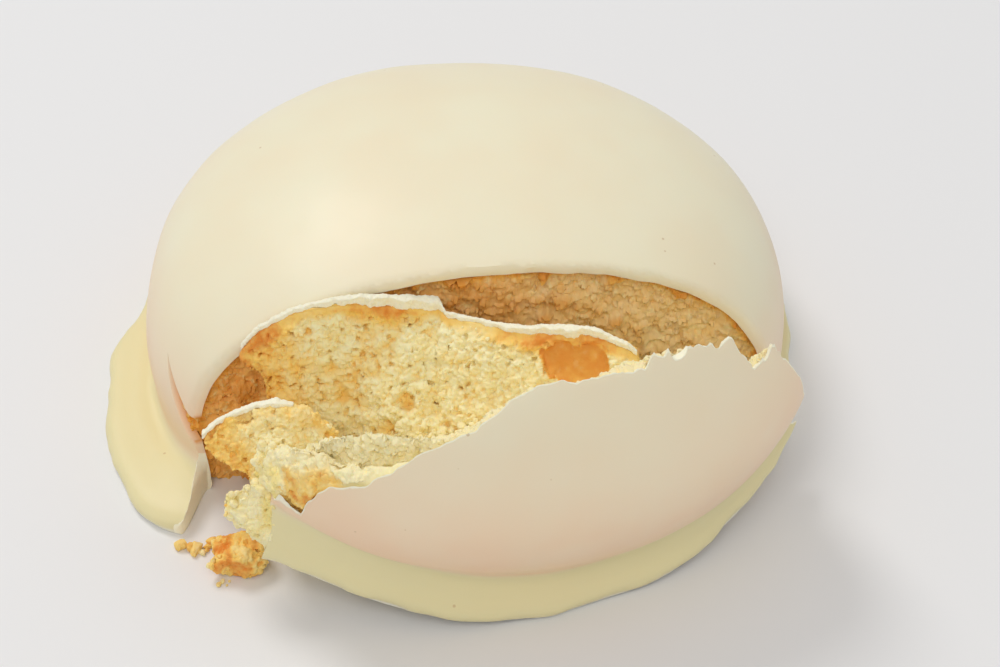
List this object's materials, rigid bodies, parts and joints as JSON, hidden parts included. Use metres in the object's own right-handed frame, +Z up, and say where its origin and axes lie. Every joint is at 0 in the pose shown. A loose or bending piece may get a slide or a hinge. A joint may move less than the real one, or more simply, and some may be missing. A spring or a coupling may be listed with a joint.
{
  "type": "lemon cake",
  "caption": "Small round lemon cake with pale poured icing, cut across and broken open at the front to show the crumb.",
  "frame": {"origin": "middle of the whole cake's flat base, on the surface the cake stands on", "axes": "+Z up, -Y towards the broken front part, +X to the right of it"},
  "size_m": [0.0755, 0.0771, 0.0314],
  "materials": {
    "sponge": "open pale yellow crumb with a thin golden brown crust",
    "icing": "smooth satin pale lemon icing, slightly translucent"
  },
  "bodies": {
    "root": {"sponge_back": "sponge", "icing_back": "icing", "sponge_front": "sponge", "icing_front": "icing", "sponge_slab": "sponge", "icing_slab": "icing", "sponge_chunk": "sponge", "icing_chunk": "icing", "crumb_loose": "sponge"}
  },
  "joints": []
}
